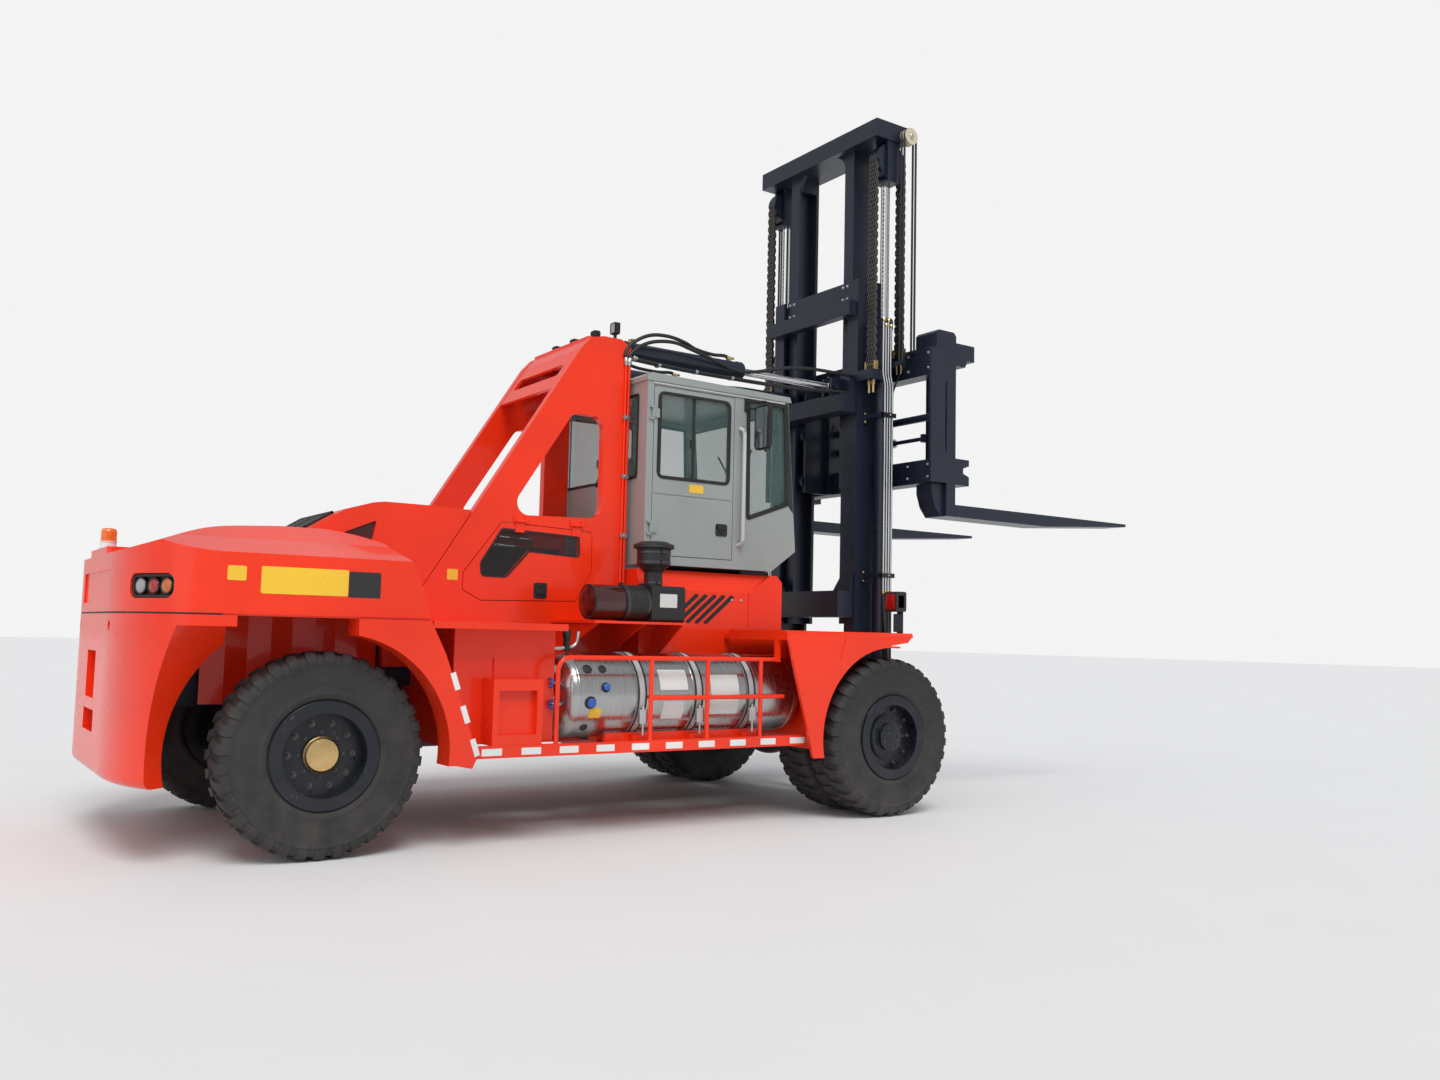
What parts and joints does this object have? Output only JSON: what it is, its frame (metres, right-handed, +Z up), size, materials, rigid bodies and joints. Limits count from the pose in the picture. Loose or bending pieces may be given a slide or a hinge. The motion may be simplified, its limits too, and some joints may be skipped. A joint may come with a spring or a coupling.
{
  "type": "forklift truck",
  "caption": "Heavy counterbalanced forklift truck with a two-stage lifting mast, hook-on forks, a cab on the centre line and twin front wheels.",
  "frame": {"origin": "on the ground, halfway between the counterweight's rear end and the fork tips, on the centre line", "axes": "+X forwards, from the counterweight to the fork tips; +Y to the driver's left; +Z up"},
  "size_m": [10.025, 3.573, 6.73],
  "materials": {
    "body_paint": "gloss",
    "mast_paint": "satin",
    "rim_paint": "gloss",
    "cab_paint": "satin",
    "tyre": "matt",
    "bright_steel": "polished",
    "tank_steel": "brushed",
    "dark_steel": "oiled",
    "black_plastic": "matt",
    "cream_plastic": "satin",
    "orange_lens": "clear gloss",
    "engine_iron": "painted rough",
    "seat_fabric": "woven",
    "glass": "clear"
  },
  "bodies": {
    "truck": {"air_cleaner": "black_plastic", "beacon": "orange_lens", "cab_base": "body_paint", "cab_roof": "cab_paint", "cab_shell": "cab_paint", "cab_steps": "mast_paint", "cab_windows": "glass", "chassis_frame": "mast_paint", "cleaner_bracket": "body_paint", "counterweight": "body_paint", "drive_axle": "mast_paint", "engine_block": "engine_iron", "front_fender_left": "body_paint", "front_fender_right": "body_paint", "gas_tank": "tank_steel", "hydraulic_tank": "body_paint", "marker_lamps": "black_plastic", "portal": "body_paint", "portal_lamps": "black_plastic", "rear_body": "body_paint", "rear_deck_left": "body_paint", "rear_deck_right": "body_paint", "seat_base": "black_plastic", "seat_cushions": "seat_fabric", "side_rails": "body_paint", "tank_cage": "body_paint", "mirrors": "black_plastic", "steer_axle": "mast_paint", "steering_console": "black_plastic", "tank_straps": "dark_steel", "windscreen": "glass"},
    "front_wheels_left": {"tyres_front_left": "tyre", "front_hub_left": "rim_paint"},
    "front_wheels_right": {"tyres_front_right": "tyre", "front_hub_right": "rim_paint"},
    "steer_knuckle_left": {"knuckle_left": "mast_paint"},
    "steer_knuckle_right": {"knuckle_right": "mast_paint"},
    "rear_wheel_left": {"tyre_rear_left": "tyre", "rear_hub_left": "rim_paint"},
    "rear_wheel_right": {"tyre_rear_right": "tyre", "rear_hub_right": "rim_paint"},
    "mast_outer": {"outer_mast": "mast_paint", "lift_cylinders": "mast_paint", "chain_rear": "dark_steel"},
    "mast_inner": {"inner_mast": "mast_paint", "lift_rods": "bright_steel", "hose_pulleys": "cream_plastic", "chain_front": "dark_steel"},
    "fork_carriage": {"carriage": "mast_paint"},
    "left_fork": {"fork_left": "mast_paint"},
    "right_fork": {"fork_right": "mast_paint"},
    "tilt_cylinder_barrels": {"tilt_barrels": "mast_paint"},
    "tilt_cylinder_rods": {"tilt_rods": "bright_steel"},
    "left_cab_door": {"cab_door_left": "cab_paint", "door_glass_left": "glass"},
    "right_cab_door": {"cab_door_right": "cab_paint", "door_glass_right": "glass"},
    "left_service_door": {"service_door_left": "body_paint"},
    "right_service_door": {"service_door_right": "body_paint"},
    "hood_lid": {"engine_hood": "body_paint"}
  },
  "joints": [
    {"name": "wheel_front_left", "type": "hinge", "parent": "truck", "child": "front_wheels_left", "pos_m": [1.0625, 1.369, 0.69], "axis": [0, 1, 0], "continuous": true},
    {"name": "wheel_front_right", "type": "hinge", "parent": "truck", "child": "front_wheels_right", "pos_m": [1.0625, -1.369, 0.69], "axis": [0, 1, 0], "continuous": true},
    {"name": "steer_left", "type": "hinge", "parent": "truck", "child": "steer_knuckle_left", "pos_m": [-3.7875, 1.03, 0.69], "axis": [0, 0, 1], "range_deg": [-45, 45]},
    {"name": "steer_right", "type": "hinge", "parent": "truck", "child": "steer_knuckle_right", "pos_m": [-3.7875, -1.03, 0.69], "axis": [0, 0, 1], "range_deg": [-45, 45]},
    {"name": "wheel_rear_left", "type": "hinge", "parent": "steer_knuckle_left", "child": "rear_wheel_left", "pos_m": [-3.7875, 1.322, 0.69], "axis": [0, 1, 0], "continuous": true},
    {"name": "wheel_rear_right", "type": "hinge", "parent": "steer_knuckle_right", "child": "rear_wheel_right", "pos_m": [-3.7875, -1.322, 0.69], "axis": [0, 1, 0], "continuous": true},
    {"name": "mast_tilt", "type": "hinge", "parent": "truck", "child": "mast_outer", "pos_m": [1.4125, 0, 0.69], "axis": [0, 1, 0], "range_deg": [-10, 5]},
    {"name": "mast_lift", "type": "slide", "parent": "mast_outer", "child": "mast_inner", "axis": [0, 0, 1], "range_m": [-1.37, 0.6], "deforming": ["chain_rear"]},
    {"name": "carriage_lift", "type": "slide", "parent": "mast_inner", "child": "fork_carriage", "axis": [0, 0, 1], "range_m": [-1.37, 0.6], "deforming": ["chain_front"]},
    {"name": "fork_left_spread", "type": "slide", "parent": "fork_carriage", "child": "left_fork", "axis": [0, -1, 0], "range_m": [0, 0.4]},
    {"name": "fork_right_spread", "type": "slide", "parent": "fork_carriage", "child": "right_fork", "axis": [0, 1, 0], "range_m": [0, 0.4]},
    {"name": "tilt_barrel_pitch", "type": "hinge", "parent": "truck", "child": "tilt_cylinder_barrels", "pos_m": [-1.1575, 0, 4.05], "axis": [0, 1, 0], "range_deg": [-0.5, 0.9]},
    {"name": "tilt_rod_stroke", "type": "slide", "parent": "tilt_cylinder_barrels", "child": "tilt_cylinder_rods", "axis": [1, 0, 0], "range_m": [-0.6, 0.3]},
    {"name": "cab_door_left", "type": "hinge", "parent": "truck", "child": "left_cab_door", "pos_m": [-0.9175, 0.864, 2.95], "axis": [0, 0, 1], "range_deg": [0, 90]},
    {"name": "cab_door_right", "type": "hinge", "parent": "truck", "child": "right_cab_door", "pos_m": [-0.9175, -0.864, 2.95], "axis": [0, 0, -1], "range_deg": [0, 90]},
    {"name": "service_door_left", "type": "hinge", "parent": "truck", "child": "left_service_door", "pos_m": [-1.7575, 0.614, 2.44], "axis": [1, 0, 0], "range_deg": [0, 80]},
    {"name": "service_door_right", "type": "hinge", "parent": "truck", "child": "right_service_door", "pos_m": [-1.7575, -0.614, 2.44], "axis": [-1, 0, 0], "range_deg": [0, 80]},
    {"name": "engine_hood", "type": "hinge", "parent": "truck", "child": "hood_lid", "pos_m": [-1.4375, 0, 2.478], "axis": [0, 1, 0], "range_deg": [0, 45]}
  ],
  "couplings": [
    {"joint": "steer_right", "follows": "steer_left", "ratio": 1},
    {"joint": "carriage_lift", "follows": "mast_lift", "ratio": 1},
    {"joint": "tilt_barrel_pitch", "follows": "mast_tilt", "ratio": -0.078},
    {"joint": "tilt_rod_stroke", "follows": "mast_tilt", "m_per_rad": 3.36}
  ]
}
